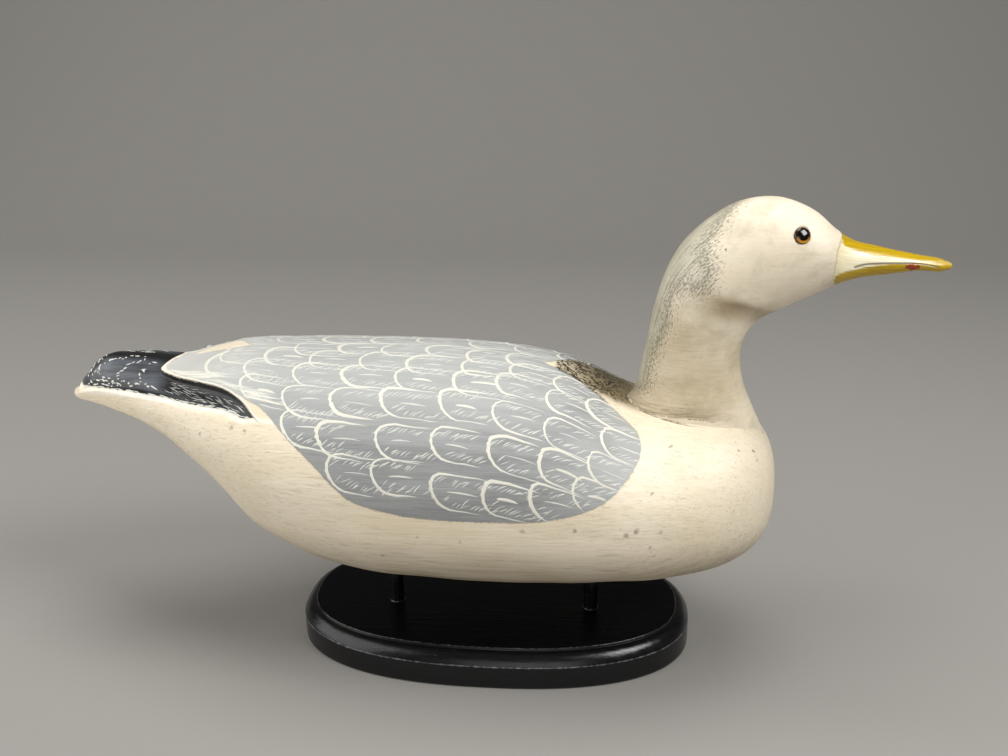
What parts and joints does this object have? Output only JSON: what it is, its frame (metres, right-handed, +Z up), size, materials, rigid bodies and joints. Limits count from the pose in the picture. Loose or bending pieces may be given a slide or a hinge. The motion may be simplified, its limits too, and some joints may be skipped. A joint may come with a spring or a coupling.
{
  "type": "gull decoy on a stand",
  "caption": "Carved and painted wooden gull with folded wings and glass eyes, standing on dowels above an oval moulded base.",
  "frame": {"origin": "underside of the base, midway between the two dowels, in the bird's plane of symmetry", "axes": "+X towards the bill, +Z up, +Y towards the bird's left side"},
  "size_m": [0.4655, 0.148, 0.2652],
  "materials": {
    "painted_body": "brushed cream and grey paint, worn, satin",
    "painted_head": "brushed cream paint with an ochre bill, worn, satin",
    "black_stand": "black paint, semi-gloss, rubbed at the edges",
    "glass_eye": "polished, amber with a black pupil"
  },
  "bodies": {
    "root": {"body": "painted_body", "head": "painted_head", "eye_left": "glass_eye", "eye_right": "glass_eye", "post_rear": "black_stand", "post_front": "black_stand", "base": "black_stand"}
  },
  "joints": []
}
